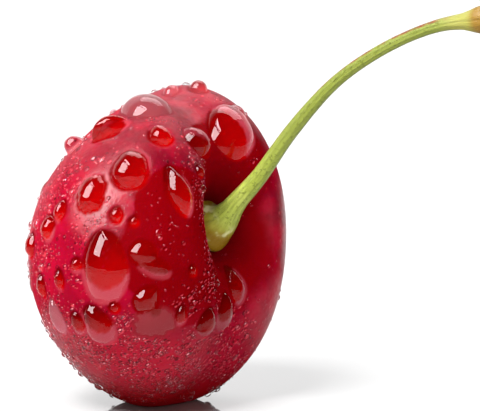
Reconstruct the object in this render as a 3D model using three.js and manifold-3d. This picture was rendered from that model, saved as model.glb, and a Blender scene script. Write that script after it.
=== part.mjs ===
// One sweet cherry with its stem, resting on a small flat spot low on its side.
// Millimetres, +Z up. The origin is the middle of the flat spot.

import * as THREE from 'three';
import { mergeVertices } from 'three/addons/utils/BufferGeometryUtils.js';
import Module from 'manifold-3d';

// The fruit, measured along its own three directions:
// cheek to cheek, along the seam, and blossom end to stem end.
const cheekHalf = 10.2;
const seamHalf = 13.1;
const stemEndHalf = 10.3;
const shoulderTaper = 0.064;
const cheekShift = -1.0;

// Lopsided growth, each a share of the local radius.
const growCheekSeam = 0.1;
const growSeamEnd = 0.1;
const growCheekEnd = 0.01;
const growCheekWide = 0.09;
const growCheekSkew = -0.07;
const growSeamSkew = -0.035;
const growCheekSeamSeam = 0.16;
const growSeamTips = 0.035;

// The hollow the stem grows out of.
const hollowDepth = 4.2;
const hollowCheekRadius = 3.0;
const hollowSeamRadius = 3.6;
const hollowCheekAt = -0.2;
const hollowSeamAt = 0.6;

// The valley between the two shoulders, and the seam groove that carries it round the fruit.
const valleyDepth = 1.6;
const valleyWidth = 3.6;
const grooveDepthFront = 1.2;
const grooveDepthBack = 0.5;
const grooveWidth = 3.0;

// How the fruit lies: turned about the upright, tipped back, and rolled, in degrees.
const turn = 52;
const tip = -12;
const roll = 4;
const fruitCentre = new THREE.Vector3(0.04, 1.13, 12.74);

// Small uneven spots of the lying fruit:
// fuller on its right side, most of all low down, and flatter on one shoulder.
const rightSwell = 0.12;
const swellFrom = 2;
const swellFull = 8;
const lowSwell = 0.15;
const lowSwellAt = 6.5;
const lowSwellWidth = 4.5;
const shoulderDent = 0.24;
const shoulderAt = new THREE.Vector2(-5, 22.5);
const shoulderWidth = 4;
const dentWay = new THREE.Vector2(0.45, -0.9);

const skinSteps = 16;

// The stem's middle line, from the bottom of the hollow to the woody end.
const stemLine = [
  [3.3, -1.6, 14.3],
  [5.0, -2.9, 15.0],
  [6.3, -4.1, 16.9],
  [7.85, -5.4, 19.1],
  [10.1, -7.4, 22.62],
  [12.75, -9.6, 26.05],
  [15.2, -11.5, 28.34],
  [18.2, -13.6, 30.33],
  [21.1, -15.6, 31.64],
  [23.8, -17.4, 32.17],
  [25.1, -18.3, 32.38],
];

// Distance along the stem and its radius there: root, funnel-shaped foot, slim middle, knob.
const stemRadii = [
  [0, 0],
  [0.1, 0.5],
  [0.5, 1.0],
  [1.1, 1.5],
  [1.7, 1.9],
  [2.0, 2.05],
  [2.3, 1.95],
  [2.7, 1.55],
  [3.2, 1.2],
  [4.0, 0.93],
  [5.4, 0.76],
  [8.0, 0.66],
  [11.0, 0.59],
  [14.0, 0.55],
  [17.0, 0.5],
  [20.0, 0.46],
  [23.0, 0.45],
  [26.0, 0.44],
  [28.5, 0.46],
  [30.2, 0.53],
  [31.4, 0.68],
  [32.2, 0.95],
  [32.9, 1.12],
  [33.5, 1.1],
  [33.9, 0.8],
  [34.0, 0],
];
const stemSides = 20;

const smoothstep = THREE.MathUtils.smoothstep;
const degToRad = THREE.MathUtils.degToRad;

function bell(value, width) {
  return Math.exp(-((value / width) ** 2));
}

// A point of the skin for one outward direction, in the fruit's own directions.
function skinPoint(direction) {
  const { x: cheek, y: seam, z: end } = direction;
  const growth = 1
    + growCheekSeam * cheek * seam
    + growSeamEnd * seam * end
    + growCheekEnd * cheek * end
    + growCheekWide * (cheek * cheek - 1 / 3)
    + growCheekSkew * cheek ** 3
    + growSeamSkew * seam ** 3
    + growCheekSeamSeam * cheek * seam * seam
    + growSeamTips * (seam ** 4 - 0.2);
  const shoulder = 1 + shoulderTaper * end;
  const x = cheekHalf * cheek * shoulder * growth + cheekShift * (1 - end * end);
  let y = seamHalf * seam * shoulder * growth;
  let z = stemEndHalf * end * growth;

  const offMiddle = x - hollowCheekAt;
  const hollow = bell(offMiddle, hollowCheekRadius) * bell(y - hollowSeamAt, hollowSeamRadius);
  z -= hollowDepth * hollow * smoothstep(end, -0.1, 0.45);
  z -= valleyDepth * bell(offMiddle, valleyWidth) * smoothstep(end, -0.35, 0.45);

  const nearStem = smoothstep(end, -0.6, 0.1);
  const groove = bell(offMiddle, grooveWidth) * nearStem;
  const frontSide = smoothstep(y / seamHalf, 0.2, 0.9);
  y -= grooveDepthFront * groove * frontSide;
  const backSide = smoothstep(-y / seamHalf, 0.2, 0.9);
  y += grooveDepthBack * groove * backSide;
  return new THREE.Vector3(x, y, z);
}

// The fruit's own directions set into the resting pose.
function restingPose() {
  const upright = new THREE.Matrix4().makeBasis(
    new THREE.Vector3(1, 0, 0),
    new THREE.Vector3(0, 0, 1),
    new THREE.Vector3(0, -1, 0),
  );
  return new THREE.Matrix4()
    .makeTranslation(fruitCentre.x, fruitCentre.y, fruitCentre.z)
    .multiply(new THREE.Matrix4().makeRotationZ(degToRad(turn)))
    .multiply(new THREE.Matrix4().makeRotationX(degToRad(tip)))
    .multiply(new THREE.Matrix4().makeRotationY(degToRad(roll)))
    .multiply(upright);
}

// The uneven spots, laid over a point that is already in the resting pose.
function touchedUp(point) {
  const dent = shoulderDent
    * bell(point.x - shoulderAt.x, shoulderWidth)
    * bell(point.z - shoulderAt.y, shoulderWidth);
  const swell = rightSwell + lowSwell * bell(point.z - lowSwellAt, lowSwellWidth);
  point.x += swell * smoothstep(point.x, swellFrom, swellFull) + dent * dentWay.x;
  point.z += dent * dentWay.y;
  return point;
}

// Corners that share a place become one corner, and slivers left by that are dropped.
function welded(geometry) {
  geometry.deleteAttribute('normal');
  geometry.deleteAttribute('uv');
  const merged = mergeVertices(geometry, 1e-4);
  const corners = merged.index.array;
  const kept = [];
  for (let i = 0; i < corners.length; i += 3) {
    const [a, b, c] = [corners[i], corners[i + 1], corners[i + 2]];
    if (a !== b && b !== c && c !== a) kept.push(a, b, c);
  }
  merged.setIndex(kept);
  return merged;
}

function skinGeometry() {
  const geometry = welded(new THREE.IcosahedronGeometry(1, skinSteps));
  const position = geometry.attributes.position;
  const pose = restingPose();
  for (let i = 0; i < position.count; i += 1) {
    const direction = new THREE.Vector3().fromBufferAttribute(position, i).normalize();
    const point = touchedUp(skinPoint(direction).applyMatrix4(pose));
    position.setXYZ(i, point.x, point.y, point.z);
  }
  return geometry;
}

const wasm = await Module();
wasm.setup();

function asSolid(geometry) {
  return new wasm.Manifold(new wasm.Mesh({
    numProp: 3,
    vertProperties: new Float32Array(geometry.attributes.position.array),
    triVerts: new Uint32Array(geometry.index.array),
  }));
}

function asGeometry(solid) {
  const mesh = solid.getMesh();
  const geometry = new THREE.BufferGeometry();
  const position = new THREE.BufferAttribute(new Float32Array(mesh.vertProperties), 3);
  geometry.setAttribute('position', position);
  geometry.setIndex(new THREE.BufferAttribute(new Uint32Array(mesh.triVerts), 1));
  geometry.computeVertexNormals();
  return geometry;
}

// Everything under the ground plane is pressed flat.
function fruitGeometry() {
  const slab = new THREE.BoxGeometry(40, 40, 4);
  slab.translate(0, 0, -2);
  return asGeometry(asSolid(skinGeometry()).subtract(asSolid(welded(slab))));
}

// A straight turned stem, bent along its middle line.
function stemGeometry() {
  const profile = stemRadii.map(([along, radius]) => new THREE.Vector2(radius, along));
  const geometry = welded(new THREE.LatheGeometry(profile, stemSides));
  const line = new THREE.CatmullRomCurve3(stemLine.map((point) => new THREE.Vector3(...point)));
  const length = stemRadii.at(-1)[0];
  const sideways = new THREE.Vector3(0.6, 0.8, 0);
  const position = geometry.attributes.position;
  for (let i = 0; i < position.count; i += 1) {
    const share = THREE.MathUtils.clamp(position.getY(i) / length, 0, 1);
    const along = line.getTangentAt(share);
    const across = new THREE.Vector3().crossVectors(along, sideways).normalize();
    const over = new THREE.Vector3().crossVectors(across, along);
    const point = line.getPointAt(share)
      .addScaledVector(across, position.getX(i))
      .addScaledVector(over, position.getZ(i));
    position.setXYZ(i, point.x, point.y, point.z);
  }
  geometry.computeVertexNormals();
  return geometry;
}

function piece(name, geometry, colour, roughness) {
  const material = new THREE.MeshStandardMaterial({ color: colour, roughness, metalness: 0 });
  const mesh = new THREE.Mesh(geometry, material);
  mesh.name = name;
  return mesh;
}

const cherry = new THREE.Group();
cherry.name = 'cherry';
cherry.add(piece('fruit', fruitGeometry(), 0x9c0a12, 0.22));
cherry.add(piece('stem', stemGeometry(), 0xa9ae5a, 0.5));

export default cherry;
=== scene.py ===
import math

import bpy
import numpy as np
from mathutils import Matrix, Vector, noise
from mathutils.bvhtree import BVHTree
from mathutils.kdtree import KDTree


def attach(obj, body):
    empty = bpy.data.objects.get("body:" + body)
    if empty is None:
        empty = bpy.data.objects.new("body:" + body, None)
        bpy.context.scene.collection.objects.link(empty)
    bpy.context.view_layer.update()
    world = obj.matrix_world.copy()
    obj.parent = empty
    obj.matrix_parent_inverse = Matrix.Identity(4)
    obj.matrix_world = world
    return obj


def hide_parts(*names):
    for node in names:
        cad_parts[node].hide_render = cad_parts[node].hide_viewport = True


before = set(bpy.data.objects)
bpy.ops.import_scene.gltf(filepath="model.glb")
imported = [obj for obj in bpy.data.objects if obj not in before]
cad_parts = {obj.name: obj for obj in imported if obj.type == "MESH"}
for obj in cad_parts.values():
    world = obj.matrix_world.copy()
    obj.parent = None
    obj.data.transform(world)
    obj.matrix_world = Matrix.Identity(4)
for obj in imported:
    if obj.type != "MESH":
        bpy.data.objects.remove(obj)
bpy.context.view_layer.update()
mm = 0.001
print("frame loaded, nodes:", ", ".join(sorted(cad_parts)))


class Field:
    # one output of a tree, so that a growth rule reads as plain arithmetic
    def __init__(self, tree, socket):
        self.tree = tree
        self.socket = socket

    def work(self, operation, other=None, swap=False):
        node = self.tree.nodes.new("ShaderNodeMath")
        node.operation = operation
        first, second = (other, self) if swap else (self, other)
        plug(self.tree, first, node.inputs[0])
        if second is not None:
            plug(self.tree, second, node.inputs[1])
        return Field(self.tree, node.outputs[0])

    def __add__(self, other):
        return self.work("ADD", other)

    def __radd__(self, other):
        return self.work("ADD", other)

    def __sub__(self, other):
        return self.work("SUBTRACT", other)

    def __rsub__(self, other):
        return self.work("SUBTRACT", other, swap=True)

    def __mul__(self, other):
        return self.work("MULTIPLY", other)

    def __rmul__(self, other):
        return self.work("MULTIPLY", other)

    def __truediv__(self, other):
        return self.work("DIVIDE", other)

    def clamped(self):
        node = self.tree.nodes.new("ShaderNodeClamp")
        plug(self.tree, self, node.inputs[0])
        return Field(self.tree, node.outputs[0])


def newObject(name, data):
    thing = bpy.data.objects.new(name, data)
    bpy.context.scene.collection.objects.link(thing)
    return thing


def plug(tree, value, socket):
    if isinstance(value, Field):
        tree.links.new(value.socket, socket)
    elif hasattr(value, "is_output"):
        tree.links.new(value, socket)
    else:
        socket.default_value = value


def addNode(tree, kind, settings=None, **wires):
    node = tree.nodes.new(kind)
    for key, value in (settings or {}).items():
        setattr(node, key, value)
    for key, value in wires.items():
        plug(tree, value, node.inputs[key.replace("_", " ")])
    return node


def easeStep(value, low, high):
    node = value.tree.nodes.new("ShaderNodeMapRange")
    node.interpolation_type = "SMOOTHSTEP"
    plug(value.tree, value, node.inputs["Value"])
    plug(value.tree, low, node.inputs["From Min"])
    plug(value.tree, high, node.inputs["From Max"])
    return Field(value.tree, node.outputs[0])


def bell(value, width):
    share = value / width
    return (share * share * -1.0).work("EXPONENT")


def newShapeTree(name, sizes):
    tree = bpy.data.node_groups.new(name, "GeometryNodeTree")
    tree.interface.new_socket("Geometry", in_out="INPUT", socket_type="NodeSocketGeometry")
    for label, value in sizes.items():
        kind = "NodeSocketInt" if isinstance(value, int) else "NodeSocketFloat"
        tree.interface.new_socket(label, in_out="INPUT", socket_type=kind)
    tree.interface.new_socket("Geometry", in_out="OUTPUT", socket_type="NodeSocketGeometry")
    source = tree.nodes.new("NodeGroupInput")
    fields = {label: Field(tree, source.outputs[label]) for label in sizes}
    return tree, source, fields


def finishTree(tree, geometry, material):
    smooth = addNode(tree, "GeometryNodeSetShadeSmooth", Geometry=geometry)
    real = addNode(tree, "GeometryNodeRealizeInstances", Geometry=smooth.outputs[0])
    paint = addNode(tree, "GeometryNodeSetMaterial", Geometry=real.outputs[0], Material=material)
    addNode(tree, "NodeGroupOutput", Geometry=paint.outputs[0])


def runTree(holder, tree, sizes):
    modifier = holder.modifiers.new("shape", "NODES")
    modifier.node_group = tree
    for item in tree.interface.items_tree:
        if item.in_out == "INPUT" and item.name in sizes:
            modifier[item.identifier] = sizes[item.name]


def storeNumber(tree, geometry, name, value):
    keep = addNode(tree, "GeometryNodeStoreNamedAttribute", {"data_type": "FLOAT", "domain": "POINT"},
                   Geometry=geometry, Name=name, Value=value)
    return keep.outputs[0]


def storedNumber(tree, name):
    node = addNode(tree, "GeometryNodeInputNamedAttribute", {"data_type": "FLOAT"}, Name=name)
    return Field(tree, node.outputs["Attribute"])


def plainMesh(holder, name):
    # the evaluated result becomes a mesh of its own and the working object goes
    bpy.context.view_layer.update()
    graph = bpy.context.evaluated_depsgraph_get()
    mesh = bpy.data.meshes.new_from_object(holder.evaluated_get(graph))
    mesh.name = name
    holder.modifiers.clear()
    bpy.data.objects.remove(holder)
    return newObject(name, mesh)


def newMaterial(name):
    material = bpy.data.materials.new(name)
    material.use_nodes = True
    tree = material.node_tree
    tree.nodes.clear()
    output = tree.nodes.new("ShaderNodeOutputMaterial")
    return material, tree, output


def grain(tree, point, scale, detail=4.0, roughness=0.55):
    node = addNode(tree, "ShaderNodeTexNoise", {"noise_dimensions": "3D"}, Vector=point, Scale=scale,
                   Detail=detail, Roughness=roughness)
    return Field(tree, node.outputs["Fac"])


def partsOf(tree, vector):
    # the three numbers of a vector
    split = tree.nodes.new("ShaderNodeSeparateXYZ")
    tree.links.new(vector, split.inputs[0])
    return [Field(tree, socket) for socket in split.outputs]


def vectorMath(tree, operation, *values):
    node = addNode(tree, "ShaderNodeVectorMath", {"operation": operation})
    for value, socket in zip(values, node.inputs):
        plug(tree, value, socket)
    return node


def scaled(tree, vector, factor):
    node = addNode(tree, "ShaderNodeVectorMath", {"operation": "SCALE"}, Vector=vector, Scale=factor)
    return node.outputs[0]


def scatterCells(tree, point, scale, randomness):
    # distance from the nearest of many scattered points, three random numbers of its own, and its place
    cells = addNode(tree, "ShaderNodeTexVoronoi", {"feature": "F1"}, Vector=point, Scale=scale,
                    Randomness=randomness)
    colour = addNode(tree, "ShaderNodeSeparateColor", Color=cells.outputs["Color"])
    pick = [Field(tree, socket) for socket in colour.outputs]
    return Field(tree, cells.outputs["Distance"]), pick, cells.outputs["Position"]


def surfaceNumber(tree, name):
    node = tree.nodes.new("ShaderNodeAttribute")
    node.attribute_name = name
    return Field(tree, node.outputs["Fac"])


def blendColour(tree, share, first, second):
    node = tree.nodes.new("ShaderNodeMix")
    node.data_type = "RGBA"
    plug(tree, share, node.inputs[0])
    plug(tree, first, node.inputs[6])
    plug(tree, second, node.inputs[7])
    return node.outputs[2]


# light gathers on the side of a drop away from the lamp
lightFall = Vector((0.55, 0.20, -0.80)).normalized()

skinLook = {
    "ripeRed": (0.160, 0.0006, 0.0085, 1),
    "wineRed": (0.090, 0.0003, 0.0050, 1),
    "brightRed": (0.250, 0.0010, 0.0130, 1),
    "blushRed": (0.250, 0.0016, 0.0140, 1),
    # painted light: lighter, pinker red for the lower part, standing in for light and sheen from the table
    # below
    "paintedBounceRed": (0.270, 0.0050, 0.0170, 1),
    "cleanRed": (0.112, 0.0002, 0.0004, 1),
    "wetRed": (0.210, 0.0002, 0.0003, 1),
    "wetShade": (0.065, 0.0002, 0.0004, 1),
    # painted shade for the stem hollow
    "hollowShadeRed": (0.035, 0.0005, 0.0008, 1),
    "speckPink": (0.340, 0.025, 0.035, 1),
    # painted reflection: the pale pink crescent at a drop's rim
    "rimReflectionPink": (0.200, 0.020, 0.030, 1),
    # painted reflection: pale sheen seen through some drops
    "sheenPink": (0.240, 0.080, 0.100, 1),
    "mottleScale": 170.0,
    "mottleRange": (0.35, 0.68),
    "cloudScale": 620.0,
    "cloudRange": (0.40, 0.70),
    "cloudShare": 0.65,
    "speckScale": 1150.0,
    "speckRange": (0.07, 0.22),
    "speckPick": (0.45, 0.75),
    "speckShare": 0.55,
    "blushAcross": (-0.0115, -0.002),
    "blushShare": 0.75,
    "cleanScale": 500.0,
    "cleanRange": (0.40, 0.54),
    "cleanShare": 0.85,
    "blurAcross": (0.002, 0.005),
    "blur": 0.25,
    "lowHeight": (0.003, 0.0105),
    "lowAcross": (0.001, 0.008),
    "lowFade": 0.75,
    "paintedBounceShare": 0.85,
    # painted shade where the fruit rests: the lowest few mm in plain darker red
    "contactShadeHeight": (0.0008, 0.0042),
    "contactShadeShare": 0.9,
    "poreScale": 2600.0,
    "dimpleScale": 700.0,
    "reliefStrength": 0.7,
    "reliefHeight": 0.00015,
    "bloomScale": 2900.0,
    "roughness": 0.45,
    "fleshGlow": 0.35,
    "fleshDepth": 0.0012,
    "fleshRadius": (1.0, 0.10, 0.06),
    "waxCoat": 0.95,
    "waxRoughness": 0.34,
    "waxIor": 1.40,
}

# beads too small for geometry, painted into the skin with painted shade, a painted highlight and painted
# gathered light; sizes and steps are shares of one cell
beadLook = {
    "shade": (0.030, 0.0002, 0.0010, 1),
    "glow": (0.480, 0.040, 0.060, 1),
    "shine": (0.750, 0.300, 0.340, 1),
    "scales": (1750.0, 2900.0, 4300.0),
    "smallest": 0.28,
    "sizeSpread": 0.25,
    "crowding": 1.4,
    "rimRange": (0.45, 0.85),
    "edgeRange": (0.85, 1.0),
    "glowRange": (0.0, 0.6),
    "shineAt": -0.35,
    "shineRange": (0.22, 0.42),
    "shinePick": (0.4, 0.7),
    "strength": 0.85,
}


def paintBeads(tree, look, point, scale, amount, colour):
    # a dense coat of tiny painted beads: painted shade on each rim, a painted highlight on the side towards
    # the lamp and painted gathered light on the side away from it
    away, pick, places = scatterCells(tree, point, scale, 0.9)
    present = easeStep(pick[0] + amount * look["crowding"], 1.0, 1.1)
    size = pick[1] * look["sizeSpread"] + look["smallest"]
    share = away / size
    inside = (1.0 - easeStep(share, *look["edgeRange"])) * present
    rim = easeStep(share, *look["rimRange"]) * inside
    shift = vectorMath(tree, "SUBTRACT", point, places)
    toward = vectorMath(tree, "DOT_PRODUCT", shift.outputs[0], lightFall)
    fall = Field(tree, toward.outputs["Value"]) * scale / size
    colour = blendColour(tree, rim * look["strength"], colour, look["shade"])
    glow = easeStep(fall, *look["glowRange"]) * inside
    colour = blendColour(tree, glow * look["strength"], colour, look["glow"])
    fromShine = (fall - look["shineAt"]).work("ABSOLUTE") + share * 0.5
    shine = (1.0 - easeStep(fromShine, *look["shineRange"])) * inside
    shine = shine * easeStep(pick[2], *look["shinePick"])
    colour = blendColour(tree, shine, colour, look["shine"])
    dome = (1.0 - share * share).clamped().work("SQRT") * present
    return colour, dome


def makeSkinMaterial(look, beadLook):
    material, tree, output = newMaterial("ripe cherry skin")
    point = tree.nodes.new("ShaderNodeTexCoord").outputs["Object"]
    wet = surfaceNumber(tree, "wet")
    hollow = surfaceNumber(tree, "hollow")
    across, _, height = partsOf(tree, point)
    mottle = easeStep(grain(tree, point, look["mottleScale"], 3.0), *look["mottleRange"])
    cloud = easeStep(grain(tree, point, look["cloudScale"], 5.0), *look["cloudRange"])
    colour = blendColour(tree, mottle, look["ripeRed"], look["wineRed"])
    colour = blendColour(tree, cloud * look["cloudShare"], colour, look["brightRed"])
    blush = 1.0 - easeStep(across, *look["blushAcross"])
    colour = blendColour(tree, blush * look["blushShare"], colour, look["blushRed"])

    # pale specks, and patches washed clean of them, with a softer border on the far cheek
    away, pick, _ = scatterCells(tree, point, look["speckScale"], 1.0)
    chosen = easeStep(pick[0], *look["speckPick"])
    speck = (1.0 - easeStep(away, *look["speckRange"])) * chosen
    torn = (grain(tree, point, look["cleanScale"], 4.0) - 0.5) * 0.5
    clean = (surfaceNumber(tree, "clean") + torn).clamped()
    blur = easeStep(across, *look["blurAcross"]) * look["blur"]
    cleanFrom, cleanFull = look["cleanRange"]
    clean = easeStep(clean, cleanFrom - blur, cleanFull + blur)
    colour = blendColour(tree, speck * (1.0 - clean) * look["speckShare"], colour, look["speckPink"])
    colour = blendColour(tree, clean * look["cleanShare"], colour, look["cleanRed"])

    # painted light: the lower part is painted lighter and pinker, standing in for light and sheen from the
    # table below, less on the right cheek
    paintedBounceSide = 1.0 - easeStep(height, *look["lowHeight"])
    paintedBounceSide = paintedBounceSide * (1.0 - easeStep(across, *look["lowAcross"]) * look["lowFade"])
    colour = blendColour(tree, paintedBounceSide * look["paintedBounceShare"], colour, look["paintedBounceRed"])
    mist = surfaceNumber(tree, "mist")
    beads = None
    for scale in beadLook["scales"]:
        colour, bead = paintBeads(tree, beadLook, point, scale, mist, colour)
        beads = bead if beads is None else beads + bead
    # painted shade: close to where the fruit rests, the skin goes back to a plain darker red
    under = 1.0 - easeStep(height, *look["contactShadeHeight"])
    colour = blendColour(tree, under * look["contactShadeShare"], colour, look["cleanRed"])

    # under a drop the skin shows the light that the water gathers
    lit = surfaceNumber(tree, "lit")
    wetColour = blendColour(tree, lit, look["wetShade"], look["wetRed"])
    # painted reflection: a pale pink crescent towards the rim of each drop
    wetColour = blendColour(tree, surfaceNumber(tree, "crescent"), wetColour, look["rimReflectionPink"])
    # painted reflection: some drops painted pale all over, standing in for the sheen seen through the water
    wetColour = blendColour(tree, surfaceNumber(tree, "milky"), wetColour, look["sheenPink"])
    colour = blendColour(tree, wet, colour, wetColour)
    # painted shade: the stem hollow is painted dark
    colour = blendColour(tree, hollow, colour, look["hollowShadeRed"])

    dry = 1.0 - wet
    pores = grain(tree, point, look["poreScale"], 6.0, 0.62)
    dimples = grain(tree, point, look["dimpleScale"], 3.0)
    relief = (pores * 0.35 + dimples * 0.65 - speck * 0.25 + beads * 0.8) * (dry * 0.85 + 0.15)
    bump = addNode(tree, "ShaderNodeBump", Strength=look["reliefStrength"], Distance=look["reliefHeight"],
                   Height=relief)

    bloom = grain(tree, point, look["bloomScale"], 5.0, 0.7) * 1.4 + 0.25
    wax = dry * (1.0 - clean * 0.95) * surfaceNumber(tree, "bloom") * bloom.clamped() * look["waxCoat"]
    shader = addNode(tree, "ShaderNodeBsdfPrincipled", Base_Color=colour, Roughness=look["roughness"],
                     Specular_IOR_Level=0.0, Subsurface_Weight=look["fleshGlow"],
                     Subsurface_Radius=look["fleshRadius"], Subsurface_Scale=look["fleshDepth"],
                     Coat_Weight=wax, Coat_IOR=look["waxIor"], Coat_Roughness=look["waxRoughness"],
                     Coat_Normal=bump.outputs[0], Normal=bump.outputs[0])
    tree.links.new(shader.outputs[0], output.inputs[0])
    return material


waterLook = {"ior": 1.42, "tint": (1.0, 1.0, 1.0, 1)}


def makeWaterMaterial(look):
    material, tree, output = newMaterial("clear water")
    glass = addNode(tree, "ShaderNodeBsdfPrincipled", Base_Color=look["tint"], Roughness=0.0,
                    IOR=look["ior"], Transmission_Weight=1.0)
    clear = tree.nodes.new("ShaderNodeBsdfTransparent")
    path = tree.nodes.new("ShaderNodeLightPath")
    mix = tree.nodes.new("ShaderNodeMixShader")
    tree.links.new(path.outputs["Is Shadow Ray"], mix.inputs[0])
    tree.links.new(glass.outputs[0], mix.inputs[1])
    tree.links.new(clear.outputs[0], mix.inputs[2])
    tree.links.new(mix.outputs[0], output.inputs[0])
    return material


stalkLook = {
    "footGreen": (0.270, 0.245, 0.024, 1),
    "footRim": (0.160, 0.088, 0.003, 1),
    # pale patches on the foot: partly its own paler tone, partly a painted highlight
    "footPaleGloss": (0.480, 0.470, 0.250, 1),
    "freshGreen": (0.225, 0.265, 0.036, 1),
    "paleGreen": (0.300, 0.330, 0.080, 1),
    "upperGreen": (0.140, 0.165, 0.024, 1),
    "oliveShade": (0.085, 0.100, 0.010, 1),
    "edgeBrown": (0.150, 0.040, 0.012, 1),
    "endYellow": (0.240, 0.230, 0.050, 1),
    "woodBrown": (0.180, 0.100, 0.012, 1),
    "streaksAround": 11.0,
    "streaksAlong": 9.0,
    "streakShare": 0.55,
    "patchScale": 420.0,
    "patchShare": 0.5,
    "coarse": (0.35, 0.7),
    "freckleScale": 3600.0,
    "freckleRange": (0.56, 0.66),
    "freckleShare": 0.7,
    "gloss": 0.30,
    "roughness": 0.42,
    "fleshGlow": 0.15,
    "fleshDepth": 0.0004,
    "fleshRadius": (0.6, 0.8, 0.2),
    "reliefStrength": 0.6,
    "reliefHeight": 0.00008,
}

# where each stretch of the stalk begins and is full, as shares of its length
stalkStretches = {
    "upper": (0.14, 0.45),
    "edgeFrom": (0.12, 0.22),
    "edgeTo": (0.84, 0.94),
    "edgeFacing": (0.46, 0.62),
    "foot": (0.05, 0.12),
    "footRim": (0.068, 0.098),
    "footPaleGloss": (0.085, 0.11),
    "end": (0.84, 0.93),
    "wood": (0.935, 0.965),
}


def makeStalkMaterial(look, stretches):
    material, tree, output = newMaterial("green cherry stalk")
    point = tree.nodes.new("ShaderNodeTexCoord").outputs["Object"]
    along = surfaceNumber(tree, "along")
    around = surfaceNumber(tree, "around")
    ease = {name: easeStep(along, *stretches[name])
            for name in ("upper", "edgeFrom", "edgeTo", "foot", "footPaleGloss", "end", "wood")}
    streakPoint = tree.nodes.new("ShaderNodeCombineXYZ")
    plug(tree, around * look["streaksAround"], streakPoint.inputs[0])
    plug(tree, along * look["streaksAlong"], streakPoint.inputs[1])
    streak = easeStep(grain(tree, streakPoint.outputs[0], 2.4, 4.0), *look["coarse"])
    patch = easeStep(grain(tree, point, look["patchScale"], 3.0), *look["coarse"])
    freckle = easeStep(grain(tree, point, look["freckleScale"], 2.0), *look["freckleRange"])
    colour = blendColour(tree, patch * look["patchShare"], look["freshGreen"], look["paleGreen"])
    colour = blendColour(tree, streak * look["streakShare"], colour, look["oliveShade"])
    colour = blendColour(tree, ease["upper"] * 0.85, colour, look["upperGreen"])

    # a broken brown line on the upper edge
    facingUp = easeStep(surfaceNumber(tree, "upper"), *stretches["edgeFacing"])
    broken = easeStep(grain(tree, point, 900.0, 2.0), 0.3, 0.6)
    line = facingUp * ease["edgeFrom"] * (1.0 - ease["edgeTo"]) * broken
    colour = blendColour(tree, line, colour, look["edgeBrown"])
    colour = blendColour(tree, freckle * look["freckleShare"], colour, look["oliveShade"])

    # the foot, the yellow stretch before the end, and the woody knob
    colour = blendColour(tree, 1.0 - ease["foot"], colour, look["footGreen"])
    rim = 1.0 - easeStep(along + (patch - 0.5) * 0.012, *stretches["footRim"])
    colour = blendColour(tree, rim, colour, look["footRim"])
    # pale patches on the foot: partly its own paler tone, partly a painted highlight
    pale = easeStep(grain(tree, point, 520.0, 3.0), 0.55, 0.64)
    colour = blendColour(tree, (1.0 - ease["footPaleGloss"]) * pale * 0.7, colour, look["footPaleGloss"])
    colour = blendColour(tree, ease["end"], colour, look["endYellow"])
    colour = blendColour(tree, ease["wood"], colour, look["woodBrown"])
    relief = streak * 0.6 + freckle * 0.2 + grain(tree, point, 1500.0, 4.0) * 0.4
    bump = addNode(tree, "ShaderNodeBump", Strength=look["reliefStrength"], Distance=look["reliefHeight"],
                   Height=relief)
    shader = addNode(tree, "ShaderNodeBsdfPrincipled", Base_Color=colour, Roughness=look["roughness"],
                     Specular_IOR_Level=look["gloss"], Subsurface_Weight=look["fleshGlow"],
                     Subsurface_Radius=look["fleshRadius"], Subsurface_Scale=look["fleshDepth"],
                     Normal=bump.outputs[0])
    tree.links.new(shader.outputs[0], output.inputs[0])
    return material


skinMaterial = makeSkinMaterial(skinLook, beadLook)
waterMaterial = makeWaterMaterial(waterLook)
stalkMaterial = makeStalkMaterial(stalkLook, stalkStretches)
print("materials ready")

# the fruit: one rule of growth, laid over a ball; mm, shares and radians
fruitSizes = {
    "gridPoints": 120,
    "cheekHalf": 10.2,
    "seamHalf": 13.1,
    "stemEndHalf": 10.3,
    "shoulderTaper": 0.064,
    "cheekShift": -1.0,
    "growCheekSeam": 0.1,
    "growSeamEnd": 0.1,
    "growCheekEnd": 0.01,
    "growCheekWide": 0.09,
    "growCheekSkew": -0.07,
    "growSeamSkew": -0.035,
    "growCheekSeamSeam": 0.16,
    "growSeamTips": 0.035,
    "hollowDepth": 4.2,
    "hollowCheekRadius": 3.15,
    "hollowSeamRadius": 3.6,
    "hollowCheekAt": -0.35,
    "hollowSeamAt": 0.6,
    "valleyDepth": 1.6,
    "valleyWidth": 3.6,
    "grooveDepthFront": 1.2,
    "grooveDepthBack": 0.5,
    "grooveWidth": 3.0,
    "turn": math.radians(52),
    "tip": math.radians(-12),
    "roll": math.radians(4),
    "rightSwell": 0.12,
    "swellFrom": 2.0,
    "swellFull": 8.0,
    "lowSwell": 0.15,
    "lowSwellAt": 6.5,
    "lowSwellWidth": 4.5,
    "shoulderDent": 0.24,
    "shoulderX": -5.0,
    "shoulderZ": 22.5,
    "shoulderWidth": 4.0,
    "dentAcross": 0.45,
    "dentDown": 0.9,
    "restRim": 0.15,
    "centreX": 0.04,
    "centreY": 1.13,
    "centreZ": 12.74,
}
fruitCentre = Vector((fruitSizes["centreX"], fruitSizes["centreY"], fruitSizes["centreZ"])) * mm


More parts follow.
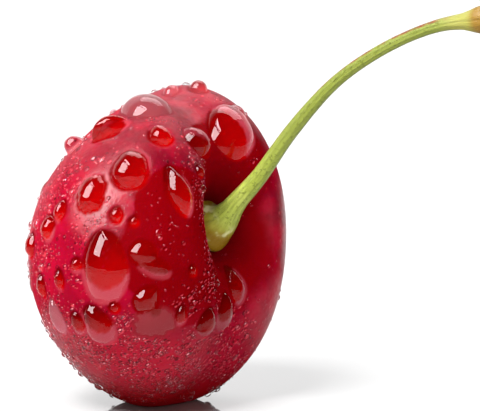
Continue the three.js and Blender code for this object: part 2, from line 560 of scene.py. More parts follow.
def buildFruit(sizes, material):
    tree, source, size = newShapeTree("cherry fruit shape", sizes)
    block = addNode(tree, "GeometryNodeMeshCube")
    block.inputs["Size"].default_value = (2, 2, 2)
    for label in ("Vertices X", "Vertices Y", "Vertices Z"):
        plug(tree, size["gridPoints"], block.inputs[label])

    # the block is blown up to an even ball
    place = addNode(tree, "GeometryNodeInputPosition")
    spread = vectorMath(tree, "TANGENT", scaled(tree, place.outputs[0], math.pi / 4))
    ball = vectorMath(tree, "NORMALIZE", spread.outputs[0])
    cheek, seam, end = partsOf(tree, ball.outputs[0])

    growth = (
        1.0
        + size["growCheekSeam"] * cheek * seam
        + size["growSeamEnd"] * seam * end
        + size["growCheekEnd"] * cheek * end
        + size["growCheekWide"] * (cheek * cheek - 1 / 3)
        + size["growCheekSkew"] * cheek * cheek * cheek
        + size["growSeamSkew"] * seam * seam * seam
        + size["growCheekSeamSeam"] * cheek * seam * seam
        + size["growSeamTips"] * (seam * seam * seam * seam - 0.2)
    )
    shoulder = 1.0 + size["shoulderTaper"] * end
    x = size["cheekHalf"] * cheek * shoulder * growth + size["cheekShift"] * (1.0 - end * end)
    y = size["seamHalf"] * seam * shoulder * growth
    z = size["stemEndHalf"] * end * growth

    offMiddle = x - size["hollowCheekAt"]
    hollow = bell(offMiddle, size["hollowCheekRadius"])
    hollow = hollow * bell(y - size["hollowSeamAt"], size["hollowSeamRadius"]) * easeStep(end, -0.1, 0.45)
    valley = bell(offMiddle, size["valleyWidth"]) * easeStep(end, -0.35, 0.45)
    z = z - size["hollowDepth"] * hollow - size["valleyDepth"] * valley
    groove = bell(offMiddle, size["grooveWidth"]) * easeStep(end, -0.6, 0.1)
    share = y / size["seamHalf"]
    lowered = y - size["grooveDepthFront"] * groove * easeStep(share, 0.2, 0.9)
    backShare = lowered / size["seamHalf"] * -1.0
    y = lowered + size["grooveDepthBack"] * groove * easeStep(backShare, 0.2, 0.9)

    # own directions to upright, then rolled, tipped and turned into the resting pose
    upright = addNode(tree, "ShaderNodeCombineXYZ")
    for value, socket in zip((x, z * -1.0, y), upright.inputs):
        plug(tree, value, socket)
    posed = upright.outputs[0]
    for axis, label in (("Y_AXIS", "roll"), ("X_AXIS", "tip"), ("Z_AXIS", "turn")):
        swing = addNode(tree, "ShaderNodeVectorRotate", {"rotation_type": axis}, Vector=posed,
                        Angle=size[label])
        posed = swing.outputs[0]
    centre = addNode(tree, "ShaderNodeCombineXYZ")
    for label, socket in zip(("centreX", "centreY", "centreZ"), centre.inputs):
        plug(tree, size[label], socket)
    moved = vectorMath(tree, "ADD", posed, centre.outputs[0])

    # a little fuller on the right and flatter on one shoulder; pressed flat where it rests, with a soft rim
    x, y, z = partsOf(tree, moved.outputs[0])
    dent = bell(x - size["shoulderX"], size["shoulderWidth"]) * size["shoulderDent"]
    dent = dent * bell(z - size["shoulderZ"], size["shoulderWidth"])
    swell = size["rightSwell"] + size["lowSwell"] * bell(z - size["lowSwellAt"], size["lowSwellWidth"])
    x = x + swell * easeStep(x, size["swellFrom"], size["swellFull"]) + dent * size["dentAcross"]
    press = addNode(tree, "ShaderNodeMath", {"operation": "SMOOTH_MAX"})
    plug(tree, z - dent * size["dentDown"], press.inputs[0])
    press.inputs[1].default_value = 0.0
    plug(tree, size["restRim"], press.inputs[2])
    flat = addNode(tree, "ShaderNodeCombineXYZ")
    for value, socket in zip((x, y, press.outputs[0]), flat.inputs):
        plug(tree, value, socket)

    stored = storeNumber(tree, block.outputs["Mesh"], "hollow", easeStep(hollow, 0.25, 0.95))
    stored = storeNumber(tree, stored, "valley", valley)
    shape = addNode(tree, "GeometryNodeSetPosition", Geometry=stored,
                    Position=scaled(tree, flat.outputs[0], mm))
    finishTree(tree, shape.outputs[0], material)
    holder = newObject("fruitHolder", bpy.data.meshes.new("fruitHolder"))
    runTree(holder, tree, sizes)
    return plainMesh(holder, "fruitSkin")


fruit = buildFruit(fruitSizes, skinMaterial)
print("fruit shaped,", len(fruit.data.polygons), "faces")

# the stalk: a thin stem swept along its middle line, in mm
stalkSizes = {
    "sides": 48,
    "steps": 300,
    "ridgeHeight": 0.018,
    "ridges": 9,
    "ridgeTwist": 5.0,
    "kinkHeight": 0.05,
    "kinkScale": 260.0,
}
stalkLine = [
    (2.55, -1.35, 14.1), (4.65, -2.85, 15.0), (6.15, -4.05, 16.9), (7.85, -5.4, 19.1), (10.1, -7.4, 22.62),
    (12.75, -9.6, 26.05), (15.2, -11.5, 28.34), (18.2, -13.6, 30.33), (21.1, -15.6, 31.64),
    (23.8, -17.4, 32.17), (25.1, -18.3, 32.38),
]
# distance from the root and radius there
stalkRadii = [
    (0, 0.10), (0.3, 0.90), (0.8, 1.50), (1.3, 1.92), (1.6, 2.12), (1.8, 2.14), (2.0, 2.00), (2.4, 1.68),
    (2.9, 1.40), (3.5, 1.16), (4.3, 0.90), (5.6, 0.75), (8.0, 0.66), (11.0, 0.60), (14.0, 0.56),
    (17.0, 0.50), (20.0, 0.46), (23.0, 0.45), (26.0, 0.44), (28.5, 0.46), (30.2, 0.52), (31.4, 0.62),
    (32.2, 0.84), (32.9, 1.06), (33.5, 1.06), (34.0, 0.80), (34.3, 0.10),
]


def smoothLine(points, count):
    # a curve through the points, walked in even steps
    rows = np.array([points[0], *points, points[-1]], dtype=float)
    rows[0] = 2 * rows[1] - rows[2]
    rows[-1] = 2 * rows[-2] - rows[-3]
    dense = []
    for i in range(1, len(rows) - 2):
        a, b, c, d = rows[i - 1], rows[i], rows[i + 1], rows[i + 2]
        for t in np.linspace(0, 1, 40, endpoint=False):
            dense.append(0.5 * (2 * b + (c - a) * t + (2 * a - 5 * b + 4 * c - d) * t ** 2
                                + (3 * b - a - 3 * c + d) * t ** 3))
    dense.append(rows[-2])
    dense = np.array(dense)
    walked = np.concatenate([[0], np.cumsum(np.linalg.norm(np.diff(dense, axis=0), axis=1))])
    even = np.linspace(0, walked[-1], count)
    return np.stack([np.interp(even, walked, dense[:, i]) for i in range(3)], axis=1), even


def buildStalk(sizes, material):
    places, walked = smoothLine(stalkLine, sizes["steps"])
    table = np.array(stalkRadii)
    radii = np.interp(walked / walked[-1] * table[-1, 0], table[:, 0], table[:, 1])
    for _ in range(2):
        radii[1:-1] = (radii[:-2] + 2 * radii[1:-1] + radii[2:]) / 4
    curve = bpy.data.curves.new("stalkLine", "CURVE")
    curve.dimensions = "3D"
    spline = curve.splines.new("POLY")
    spline.points.add(len(places) - 1)
    for knot, place, radius in zip(spline.points, places, radii):
        knot.co = (*(place * mm), 1)
        knot.radius = radius * mm
    holder = newObject("stalkHolder", curve)

    tree, source, size = newShapeTree("stalk sweep", sizes)
    ring = addNode(tree, "GeometryNodeCurvePrimitiveCircle", {"mode": "RADIUS"}, Resolution=size["sides"])
    ring.inputs["Radius"].default_value = 1.0
    alongSpot = addNode(tree, "GeometryNodeSplineParameter")
    line = storeNumber(tree, source.outputs["Geometry"], "along", alongSpot.outputs["Factor"])
    aroundSpot = addNode(tree, "GeometryNodeSplineParameter")
    rim = storeNumber(tree, ring.outputs[0], "around", aroundSpot.outputs["Factor"])
    radius = addNode(tree, "GeometryNodeInputRadius")
    sweep = addNode(tree, "GeometryNodeCurveToMesh", Curve=line, Profile_Curve=rim, Fill_Caps=True,
                    Scale=radius.outputs[0])

    # fine lengthwise ridges and a few slow kinks, as a dried stalk has
    around, along = storedNumber(tree, "around"), storedNumber(tree, "along")
    wave = (around * size["ridges"] * (2 * math.pi) + along * size["ridgeTwist"]).work("SINE")
    place = addNode(tree, "GeometryNodeInputPosition")
    lump = addNode(tree, "ShaderNodeTexNoise", {"noise_dimensions": "3D"}, Vector=place.outputs[0],
                   Scale=size["kinkScale"], Detail=2.0)
    lumps = Field(tree, lump.outputs["Fac"]) - 0.5
    slim = easeStep(along, 0.02, 0.10) * (1.0 - easeStep(along, 0.985, 1.0))
    lift = (wave * size["ridgeHeight"] + lumps * size["kinkHeight"]) * slim * mm
    facing = addNode(tree, "GeometryNodeInputNormal")
    stored = storeNumber(tree, sweep.outputs[0], "upper", partsOf(tree, facing.outputs[0])[2])
    shape = addNode(tree, "GeometryNodeSetPosition", Geometry=stored,
                    Offset=scaled(tree, facing.outputs[0], lift))
    finishTree(tree, shape.outputs[0], material)
    runTree(holder, tree, sizes)
    return plainMesh(holder, "stalk")


stalk = buildStalk(stalkSizes, stalkMaterial)
print("stalk swept,", len(stalk.data.polygons), "faces")

# big drops, placed one by one on the skin
# turn: degrees round the fruit from its front (-Y) towards +X; rise: degrees above level; sizes in mm
# lean: degrees that the foot swings out; top, foot: how pointed each end is
# edge: how softly the rim runs out; rough: how ragged the outline is
# bright: how much light gathers in it; lit: that light as one even share
# pale: (degrees round the drop from its foot, thickness) of the pale crescent of painted reflection;
# paleness: its strength
# milky: how pale the whole drop is painted, a painted reflection of sheen
def dropAt(turn, rise, wide, tall, high, lean=0, **more):
    return {"turn": turn, "rise": rise, "wide": wide, "tall": tall, "high": high, "lean": lean, **more}


dropList = [
    dropAt(-27, 77, 4.0, 4.6, 0.84, 20, milky=0.25, bright=0.3),
    dropAt(158, 80, 1.3, 1.6, 0.5, milky=0.3),
    dropAt(127, 73, 1.5, 1.6, 0.7, milky=0.15),
    dropAt(-40, 57, 1.9, 3.4, 1.3, -32, foot=0.7, top=0.3, pale=(170, 0.3), bright=0.8),
    dropAt(95, 60, 1.6, 1.6, 0.45, milky=0.3),
    dropAt(-70, 48, 1.6, 1.8, 0.95, milky=0.4),
    dropAt(-1, 55, 1.8, 2.2, 0.75, 12, pale=(150, 0.4)),
    dropAt(-15, 37, 3.0, 3.8, 1.15, -12, foot=0.2, pale=(150, 0.22), bright=0.7),
    dropAt(-30, 26, 2.3, 3.4, 0.8, rough=0.5, pale=(215, 0.3), bright=0.8),
    dropAt(8, 30, 2.0, 4.5, 0.85, 10, top=0.8, foot=0.6, pale=(60, 0.3)),
    dropAt(29, 57, 2.4, 2.8, 0.95, pale=(150, 0.6), bright=0.4),
    dropAt(77, 59, 4.0, 5.4, 0.95, -10, pale=(128, 0.68)),
    dropAt(-18, 18, 1.0, 1.3, 0.42),
    dropAt(-11, 16, 0.65, 0.7, 0.25),
    dropAt(23, 41, 0.8, 1.0, 0.35),
    dropAt(-43, 18, 1.1, 1.8, 0.5, pale=(-40, 0.3)),
    dropAt(-48, 11, 1.5, 2.0, 0.6, pale=(40, 0.3)),
    dropAt(-63, 3, 1.6, 1.9, 0.5),
    dropAt(-21, -1, 3.6, 5.8, 0.95, edge=1.0, foot=0.1, pale=(-4, 0.55)),
    dropAt(-7, 4, 2.1, 1.9, 0.34, -20, edge=1.8, lit=0.32),
    dropAt(-3, -1, 2.9, 1.4, 0.1, -24, edge=1.7, pale=(24, 0.42), lit=0.32, paleness=0.75),
    dropAt(-6, -14, 1.8, 2.3, 0.44, -28, edge=1.5, lit=0.32),
    dropAt(-3, -23, 3.2, 2.6, 0.12, edge=1.2, rough=0.7, pale=(0, 1.5), lit=0.32, paleness=0.45),
    dropAt(13, -4, 0.55, 0.75, 0.25),
    dropAt(-32, -1, 0.9, 1.1, 0.35, pale=(0, 0.3)),
    dropAt(-40, -7, 0.9, 1.6, 0.4, foot=0.4, pale=(-30, 0.3)),
    dropAt(-52, -11, 1.1, 1.8, 0.4),
    dropAt(-25, -23, 2.5, 3.5, 0.75, 18, rough=0.25, pale=(-25, 0.8)),
    dropAt(-34, -23, 1.2, 2.0, 0.4, 8, pale=(-20, 0.5)),
    dropAt(-45, -22, 1.3, 2.9, 0.5, 8, milky=0.5, pale=(-20, 0.6)),
    dropAt(8, -22, 0.8, 1.6, 0.35, pale=(0, 0.4)),
    dropAt(22, -29, 1.9, 2.4, 0.6, pale=(20, 0.55)),
    dropAt(36, -29, 1.9, 3.2, 0.7, top=0.5, pale=(10, 0.7)),
    dropAt(-18, -16, 0.8, 0.85, 0.3),
    dropAt(50, -19, 1.6, 3.2, 0.5, top=0.4, pale=(60, 0.5)),
    dropAt(110, 20, 1.8, 2.4, 0.6, pale=(0, 0.4)),
    dropAt(114, -24, 2.2, 3.0, 0.7, 6, foot=0.2, pale=(-10, 0.5)),
    dropAt(135, -2, 2.6, 3.4, 0.85, -8, pale=(0, 0.4)),
    dropAt(160, 34, 2.4, 2.8, 0.9, 10, pale=(10, 0.4)),
    dropAt(178, 4, 1.6, 2.2, 0.5, pale=(0, 0.4)),
    dropAt(150, -28, 1.8, 2.6, 0.6, pale=(0, 0.5)),
    dropAt(-160, 22, 2.8, 3.6, 0.9, 8, foot=0.2, pale=(0, 0.4)),
    dropAt(-150, -14, 2.2, 3.0, 0.7, rough=0.3, pale=(0, 0.5)),
    dropAt(-128, 36, 2.0, 2.3, 0.8, pale=(0, 0.3)),
    dropAt(-118, 2, 1.5, 2.1, 0.5, pale=(0, 0.4)),
    dropAt(-98, 24, 1.8, 2.3, 0.6, pale=(0, 0.3)),
    dropAt(-92, -18, 1.7, 2.4, 0.6, pale=(0, 0.5)),
    dropAt(-120, -34, 1.4, 1.9, 0.5, pale=(0, 0.5)),
]
dropShape = {
    "rings": 16,
    "sides": 56,
    "smallBelow": 1.4,
    "flatness": 2.5,
    "rimPower": 0.78,
    "sag": 0.16,
    "fullness": 0.16,
    "wobble": 0.12,
    "raggedness": 0.35,
    "pointing": 0.75,
    "sink": 0.03,
    "crescentPush": 0.8,
    "crescentBlur": 0.08,
    "wetMargin": 0.20,
}

skinTree = BVHTree.FromPolygons([vertex.co for vertex in fruit.data.vertices],
                                [face.vertices[:] for face in fruit.data.polygons])


def aim(turn, rise):
    turn, rise = math.radians(turn), math.radians(rise)
    return Vector((math.sin(turn) * math.cos(rise), -math.cos(turn) * math.cos(rise), math.sin(rise)))


def skinSpot(turn, rise):
    # where a line from outside, aimed at the middle of the fruit, meets the skin
    way = aim(turn, rise)
    place, normal, _, _ = skinTree.ray_cast(fruitCentre + way * 30 * mm, -way)
    return place, normal


def crescentShare(drop, shape, share, angle):
    # the part of the drop outside a second circle, pushed away from the side named in "pale": where the
    # painted reflection crescent lies
    if "pale" not in drop:
        return 0.0
    side, thickness = drop["pale"]
    push = shape["crescentPush"]
    along = share * math.cos(angle - math.radians(side))
    away = math.sqrt(share * share + 2 * push * along + push * push)
    inside = min(1.0, max(0.0, (away - 1 - push + thickness) / shape["crescentBlur"]))
    return inside * drop.get("paleness", 1.0)


def dropMesh(drop, shape, corners, faces, covers):
    place, normal = skinSpot(drop["turn"], drop["rise"])
    down = Vector((0, 0, -1))
    down = (down - normal * down.dot(normal)).normalized()
    side = normal.cross(down).normalized()
    lean = math.radians(drop["lean"])
    tallWay = down * math.cos(lean) + side * math.sin(lean)
    wideWay = normal.cross(tallWay).normalized()
    steep = math.sqrt(max(0.0, 1 - normal.z ** 2))
    peak = shape["sag"] * steep
    rings, sides = shape["rings"], shape["sides"]
    if drop["wide"] < shape["smallBelow"]:
        rings, sides = rings // 2, sides // 2
    phase = drop["turn"] * 0.7 + drop["rise"] * 1.3

    def spot(share, angle):
        wave = noise.noise(Vector((math.cos(angle) * 1.1 + phase, math.sin(angle) * 1.1, phase * 0.37)))
        ragged = noise.noise(Vector((math.cos(angle) * 3.5 - phase, math.sin(angle) * 3.5, phase)))
        reach = 1 + shape["wobble"] * wave + drop.get("rough", 0.0) * shape["raggedness"] * ragged * share
        ends = math.cos(angle)
        pointed = drop.get("foot" if ends > 0 else "top", 0.0) * shape["pointing"]
        u = math.sin(angle) * drop["wide"] / 2 * reach * share * (1 - pointed * abs(ends) ** 1.5)
        v = ends * drop["tall"] / 2 * reach * share
        u *= 1 + shape["fullness"] * ends * share * steep  # fuller below, narrower above
        v += peak * drop["tall"] / 2 * (1 - share)
        start = place + (wideWay * u + tallWay * v + normal * 4) * mm
        hit, facing, _, _ = skinTree.ray_cast(start, -normal)
        if hit is None:
            hit, facing, _, _ = skinTree.find_nearest(start)
        return hit, facing

    top, under = [], []
    for ring in range(rings + 1):
        share = math.sin(ring / rings * math.pi / 2)
        dome = max(0.0, 1 - share ** shape["flatness"])
        height = drop["high"] * dome ** drop.get("edge", shape["rimPower"])
        for i in range(sides if ring else 1):
            hit, facing = spot(share, i / sides * 2 * math.pi)
            lifted = normal.lerp(facing, 0.5).normalized()
            top.append(hit + lifted * height * mm - facing * shape["sink"] * mm * share ** 8)
            if ring < rings:
                under.append(hit - facing * shape["sink"] * 1.6 * mm)
            if share < 0.97:
                fall = (hit - place).dot(lightFall) / (drop["wide"] + drop["tall"]) * 4 / mm
                gathered = min(1.0, max(0.0, 0.45 + 0.55 * fall)) * drop.get("bright", 1.0)
                lit = drop.get("lit", gathered)
                crescent = crescentShare(drop, shape, share, i / sides * 2 * math.pi)
                covers.append((hit, lit, crescent, drop.get("milky", 0.0)))
    base = len(corners)
    corners.extend(top)
    lowBase = len(corners)
    corners.extend(under)

    def topAt(ring, i):
        return base if ring == 0 else base + 1 + (ring - 1) * sides + i % sides

    def underAt(ring, i):
        if ring == rings:
            return topAt(rings, i)
        return lowBase if ring == 0 else lowBase + 1 + (ring - 1) * sides + i % sides

    for i in range(sides):
        faces.append((topAt(0, 0), topAt(1, i), topAt(1, i + 1)))
        faces.append((underAt(0, 0), underAt(1, i + 1), underAt(1, i)))
        for ring in range(1, rings):
            after = ring + 1
            faces.append((topAt(ring, i), topAt(after, i), topAt(after, i + 1), topAt(ring, i + 1)))
            faces.append((underAt(ring, i), underAt(ring, i + 1), underAt(after, i + 1), underAt(after, i)))


def buildDrops(drops, shape, material):
    corners, faces, covers = [], [], []
    for drop in drops:
        dropMesh(drop, shape, corners, faces, covers)
    mesh = bpy.data.meshes.new("waterDrops")
    mesh.from_pydata([tuple(c) for c in corners], [], faces)
    mesh.polygons.foreach_set("use_smooth", [True] * len(mesh.polygons))
    mesh.materials.append(material)
    mesh.validate()
    return newObject("waterDrops", mesh), covers


waterDrops, covered = buildDrops(dropList, dropShape, waterMaterial)
print("drops placed,", len(waterDrops.data.polygons), "faces")


def storeShare(piece, name, values):
    layer = piece.data.attributes.new(name, "FLOAT", "POINT")
    layer.data.foreach_set("value", values.astype(np.float32))


def markWetSkin(piece, places, reach):
    near = KDTree(len(places))
    for i, place in enumerate(places):
        near.insert(place[0], i)
    near.balance()
    marks = np.zeros((4, len(piece.data.vertices)))
    for i, vertex in enumerate(piece.data.vertices):
        _, nearest, away = near.find(vertex.co)
        marks[:, i] = min(1.0, max(0.0, 1.5 - away / reach)), *places[nearest][1:]
    for name, values in zip(("wet", "lit", "crescent", "milky"), marks):
        storeShare(piece, name, values)


markWetSkin(fruit, covered, dropShape["wetMargin"] * mm)

# patches where the bloom is washed off and the skin is plain clear red; reach in mm
cleanPatches = [
    {"turn": 3, "rise": 4, "reach": 4.1},
    {"turn": 8, "rise": 22, "reach": 3.5},
    {"turn": 14, "rise": 20, "reach": 3.2},
    {"turn": 10, "rise": -4, "reach": 4.4},
    {"turn": 60, "rise": 48, "reach": 4.0},
    {"turn": 60, "rise": 25, "reach": 4.4},
    {"turn": 56, "rise": 0, "reach": 4.6},
    {"turn": 38, "rise": -12, "reach": 3.6},
]

# patches where the pale bloom is thick enough to catch the light
bloomPatches = [
    {"turn": -22, "rise": 24, "reach": 3.0, "amount": 1.3},
    {"turn": -18, "rise": 14, "reach": 2.3, "amount": 1.5},
    {"turn": -30, "rise": 48, "reach": 4.0, "amount": 0.8},
    {"turn": 0, "rise": 62, "reach": 4.5, "amount": 0.55},
    {"turn": 90, "rise": 78, "reach": 6.0, "amount": 0.7},
    {"turn": -72, "rise": 30, "reach": 4.0, "amount": 0.45},
    {"turn": -82, "rise": 0, "reach": 3.5, "amount": 0.7},
    {"turn": -45, "rise": -40, "reach": 4.0, "amount": 0.7},
    {"turn": 0, "rise": -40, "reach": 5.0, "amount": 0.5},
    {"turn": 94, "rise": 5, "reach": 3.5, "amount": 1.4},
    {"turn": 80, "rise": -30, "reach": 3.5, "amount": 1.0},
    {"turn": 180, "rise": 20, "reach": 9.0, "amount": 0.6},
    {"turn": -130, "rise": 10, "reach": 8.0, "amount": 0.6},
    {"turn": 150, "rise": -30, "reach": 7.0, "amount": 0.5},
]
thinBloom = 0.08


def patchShare(piece, patches, floor=0.0):
    places = [(skinSpot(patch["turn"], patch["rise"])[0], patch["reach"] * mm, patch.get("amount", 1.0))
              for patch in patches]
    points = np.zeros(len(piece.data.vertices) * 3, dtype=np.float32)
    piece.data.vertices.foreach_get("co", points)
    points = points.reshape(-1, 3)
    best = np.full(len(points), floor)
    for place, reach, amount in places:
        away = np.linalg.norm(points - np.array(place), axis=1)
        share = np.clip(1.5 - away / reach, 0, 1)
        best = np.maximum(best, amount * share * share * (3 - 2 * share))
    return best


storeShare(fruit, "clean", patchShare(fruit, cleanPatches))
storeShare(fruit, "bloom", patchShare(fruit, bloomPatches, thinBloom))

# mist and beads: small domes scattered over the skin
# density: domes per square mm where the mist lies full; sizes in mm
mistSizes = {
    "density": 1.5,
    "smallest": 0.07,
    "largest": 0.20,
    "seed": 7,
}
beadSizes = {
    "density": 0.35,
    "smallest": 0.16,
    "largest": 0.42,
    "seed": 21,
}
mistDome = {"sides": 8, "levels": ((1.0, 0.0), (0.80, 0.50), (0.42, 0.74)), "peak": 0.84}
beadDome = {
    "sides": 18,
    "levels": ((1.0, 0.0), (0.96, 0.20), (0.84, 0.42), (0.64, 0.60), (0.38, 0.71)),
    "peak": 0.76,
}

# how thick the mist lies, in mm: most low on the fruit and down its left side, little high up
mistRule = {
    "everywhere": 0.06,
    "lowTop": 10.5,
    "lowFade": 4.0,
    "lowAmount": 1.5,
    "leftStart": -3.0,
    "leftFade": 5.0,
    "leftAmount": 0.7,
    "rightStart": 4.0,
    "rightFade": 4.0,
    "rightLoss": 0.9,
    "patchScale": 0.45,
    "patchMiddle": 0.5,
    "patchSpread": 0.9,
    "rimDepth": 0.35,
    "rimWidth": 0.2,
    "rimAmount": 0.8,
    "dryBelow": 0.5,
    "wetLimit": 0.2,
}


def makeDome(name, shape):
    # a low dome of few faces, one unit across its radius
    sides, levels = shape["sides"], shape["levels"]
    corners = [(math.cos(a) * r, math.sin(a) * r, h) for r, h in levels
               for a in (i / sides * 2 * math.pi for i in range(sides))]
    corners += [(0, 0, shape["peak"]), (0, 0, -0.15)]
    crown, last = len(corners) - 2, (len(levels) - 1) * sides
    faces = []
    for i in range(sides):
        j = (i + 1) % sides
        for level in range(0, last, sides):
            faces.append((level + i, level + j, level + sides + j, level + sides + i))
        faces.append((last + i, last + j, crown))
        faces.append((j, i, crown + 1))
    mesh = bpy.data.meshes.new(name)
    mesh.from_pydata(corners, [], faces)
    return newObject(name, mesh)


def readNumbers(piece, name):
    values = np.zeros(len(piece.data.vertices), dtype=np.float32)
    piece.data.attributes[name].data.foreach_get("value", values)
    return values


def markMist(piece, rule):
    weights = []
    for vertex, depth in zip(piece.data.vertices, readNumbers(piece, "valley")):
        p = vertex.co / mm
        low = np.clip((rule["lowTop"] - p.z) / rule["lowFade"], 0, 1) * rule["lowAmount"]
        left = np.clip((rule["leftStart"] - p.x) / rule["leftFade"], 0, 1) * rule["leftAmount"]
        patch = rule["patchMiddle"] + noise.noise(Vector(p) * rule["patchScale"]) * rule["patchSpread"]
        rim = math.exp(-((depth - rule["rimDepth"]) / rule["rimWidth"]) ** 2) * rule["rimAmount"]
        right = 1 - rule["rightLoss"] * np.clip((p.x - rule["rightStart"]) / rule["rightFade"], 0, 1)
        amount = (rule["everywhere"] + low + left + rim) * patch * right
        weights.append(max(0.0, amount) if p.z >= rule["dryBelow"] else 0.0)
    storeShare(piece, "mist", np.array(weights) * (readNumbers(piece, "wet") < rule["wetLimit"]))


def buildMist(name, skin, sizes, domeShape, material):
    dome = makeDome(name + "Dome", domeShape)
    tree, source, size = newShapeTree("water mist", sizes)
    amount = storedNumber(tree, "mist") * size["density"] * 1e6
    scatter = addNode(tree, "GeometryNodeDistributePointsOnFaces", {"distribute_method": "RANDOM"},
                      Mesh=source.outputs["Geometry"], Density=amount, Seed=size["seed"])
    chance = addNode(tree, "FunctionNodeRandomValue", {"data_type": "FLOAT"}, Seed=size["seed"])
    roll = Field(tree, chance.outputs[1])
    radius = (size["smallest"] + (size["largest"] - size["smallest"]) * roll * roll) * mm
    single = addNode(tree, "GeometryNodeObjectInfo", {"transform_space": "ORIGINAL"}, Object=dome)
    copies = addNode(tree, "GeometryNodeInstanceOnPoints", Points=scatter.outputs["Points"],
                     Instance=single.outputs["Geometry"], Rotation=scatter.outputs["Rotation"],
                     Scale=radius)
    finishTree(tree, copies.outputs[0], material)
    holder = newObject("mistHolder", skin.data)
    runTree(holder, tree, sizes)
    piece = plainMesh(holder, name)
    bpy.data.objects.remove(dome)
    return piece


markMist(fruit, mistRule)
waterMist = buildMist("waterMist", fruit, mistSizes, mistDome, waterMaterial)
waterBeads = buildMist("waterBeads", fruit, beadSizes, beadDome, waterMaterial)
waterPieces = (waterDrops, waterBeads, waterMist)
print("mist scattered,", len(waterMist.data.polygons), "and", len(waterBeads.data.polygons), "faces")

# what each piece belongs to
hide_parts("fruit")
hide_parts("stem")
for piece, slotName in ((fruit, "skin"), (stalk, "stem"), *((water, "water") for water in waterPieces)):
    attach(piece, "root")

# floor, light and camera; the stage is in metres
stageLook = {
    "floorSize": 2.1,
    "floorWhite": (0.38, 0.38, 0.38, 1),
    "floorRoughness": 0.05,
    "skyRange": (0.30, 0.65),
    "skyStrength": 1.25,
    "skyLeast": 0.01,
    "skySeen": 1.2,
}

# way: from the fruit to the panel; lights: what it reaches; hidden panels don't show in mirrors or water
keyPanel = {
    "way": (-0.62, -0.38, 0.69),
    "distance": 0.55,
    "size": (0.38, 0.46),
    "radiance": 15.0,
    "lights": "cherry",
}
keyStripTall, keyGap = 0.07, 0.035
wallPanel = {"distance": 1.1, "size": (2.2, 0.9), "radiance": 0.55, "raised": 0.25, "lights": "floor"}
panels = {
    "key": keyPanel,
    "keyStrip": {
        **keyPanel,
        "size": (keyPanel["size"][0], keyStripTall),
        "raised": keyPanel["size"][1] / 2 + keyGap + keyStripTall / 2,
    },
    "top": {"way": (0.20, 0.50, 0.84), "distance": 0.55, "size": (0.50, 0.30), "radiance": 3.0},
    "fill": {
        "way": (0.60, -0.78, 0.10),
        "distance": 0.50,
        "size": (0.50, 0.40),
        "radiance": 8.0,
        "lights": "cherry",
        "hidden": ("glossy", "transmission"),
    },
    "tableLamp": {
        "way": (-0.34, -0.45, 0.83),
        "distance": 0.55,
        "size": (0.22, 0.22),
        "radiance": 38.0,
        "lights": "floor",
        "hidden": ("glossy",),
    },
    "bounce": {
        "way": (-0.42, -0.90, 0.09),
        "distance": 0.45,
        "size": (0.50, 0.10),
        "radiance": 14.0,
        "lights": "cherry",
        "hidden": ("glossy", "transmission"),
    },
    "backdrop": {
        "way": (0.0, 1.0, 0.22),
        "distance": 1.1,
        "size": (2.4, 0.9),
        "radiance": 0.62,
        "lights": "floor",
    },
    "leftWall": {**wallPanel, "way": (-1.0, 0.0, 0.0)},
    "rightWall": {**wallPanel, "way": (1.0, 0.0, 0.0)},
    "nearWall": {**wallPanel, "way": (0.0, -1.0, 0.0)},
}


def makeFloor(look):
    half = look["floorSize"] / 2
    mesh = bpy.data.meshes.new("floor")
    level = -0.01 * mm
    rim = ((-half, -half), (half, -half), (half, half), (-half, half))
    mesh.from_pydata([(x, y, level) for x, y in rim], [], [(0, 1, 2, 3)])
    floor = newObject("floor", mesh)
    material, tree, output = newMaterial("white gloss table")
    shader = addNode(tree, "ShaderNodeBsdfPrincipled", Base_Color=look["floorWhite"],
                     Roughness=look["floorRoughness"])
    tree.links.new(shader.outputs[0], output.inputs[0])
    mesh.materials.append(material)
    return floor


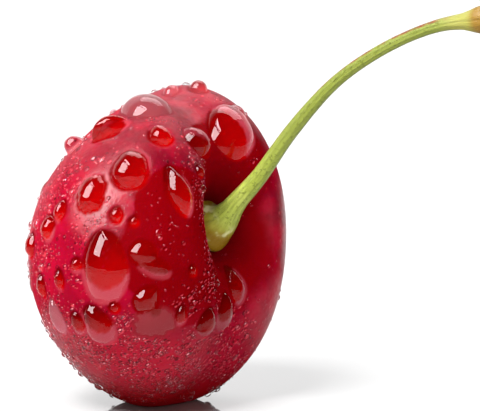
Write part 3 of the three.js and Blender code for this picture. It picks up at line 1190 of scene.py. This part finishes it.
def makePanel(name, panel, reached):
    # an even rectangle of light that faces the fruit; the table keeps its own soft shadow
    size = panel["size"]
    light = bpy.data.lights.new(name, "AREA")
    light.shape = "RECTANGLE"
    light.size, light.size_y = size
    light.energy = panel["radiance"] * math.pi * size[0] * size[1]
    lamp = newObject(name, light)
    way = Vector(panel["way"]).normalized()
    facing = way.to_track_quat("Z", "Y")
    raised = facing @ Vector((0, panel.get("raised", 0.0), 0))
    lamp.location = fruitCentre + way * panel["distance"] + raised
    lamp.rotation_euler = facing.to_euler()
    if reached:
        group = bpy.data.collections.new(name + "Reach")
        for thing in reached:
            group.objects.link(thing)
        lamp.light_linking.receiver_collection = group
    for rays in panel.get("hidden", ()):
        setattr(lamp, "visible_" + rays, False)


def makeWorld(look):
    world = bpy.data.worlds.new("white studio")
    world.use_nodes = True
    tree = world.node_tree
    tree.nodes.clear()
    coords = tree.nodes.new("ShaderNodeTexCoord")
    back = easeStep(partsOf(tree, coords.outputs["Generated"])[1], *look["skyRange"])
    strength = back * look["skyStrength"] + look["skyLeast"]
    path = tree.nodes.new("ShaderNodeLightPath")
    seen = Field(tree, path.outputs["Is Camera Ray"])
    strength = strength * (1.0 - seen) + seen * look["skySeen"]
    sky = tree.nodes.new("ShaderNodeBackground")
    plug(tree, strength, sky.inputs["Strength"])
    output = tree.nodes.new("ShaderNodeOutputWorld")
    tree.links.new(sky.outputs[0], output.inputs[0])
    bpy.context.scene.world = world


# degrees and mm
cameraView = {
    "elevation": 8.0,
    "distance": 300.0,
    "viewWidth": 38.71,
    "aimRight": 6.31,
    "aimUp": 2.99,
}


def makeCamera(view):
    rise = math.radians(view["elevation"])
    back = Vector((0, -math.cos(rise), math.sin(rise)))
    right = Vector((1, 0, 0))
    up = back.cross(right)
    data = bpy.data.cameras.new("camera")
    data.sensor_width = 36
    data.lens = 36 * view["distance"] / view["viewWidth"]
    data.clip_start, data.clip_end = 0.01, 10
    camera = newObject("camera", data)
    camera.location = fruitCentre + back * view["distance"] * mm
    target = fruitCentre + (right * view["aimRight"] + up * view["aimUp"]) * mm
    camera.rotation_euler = (camera.location - target).to_track_quat("Z", "Y").to_euler()
    bpy.context.scene.camera = camera


floor = makeFloor(stageLook)
reachable = {"cherry": (fruit, stalk, *waterPieces), "floor": (floor,)}
for panelName, panel in panels.items():
    makePanel(panelName, panel, reachable.get(panel.get("lights")))
makeWorld(stageLook)
makeCamera(cameraView)
bpy.context.scene.view_settings.view_transform = "Standard"
print("stage, light and camera ready")
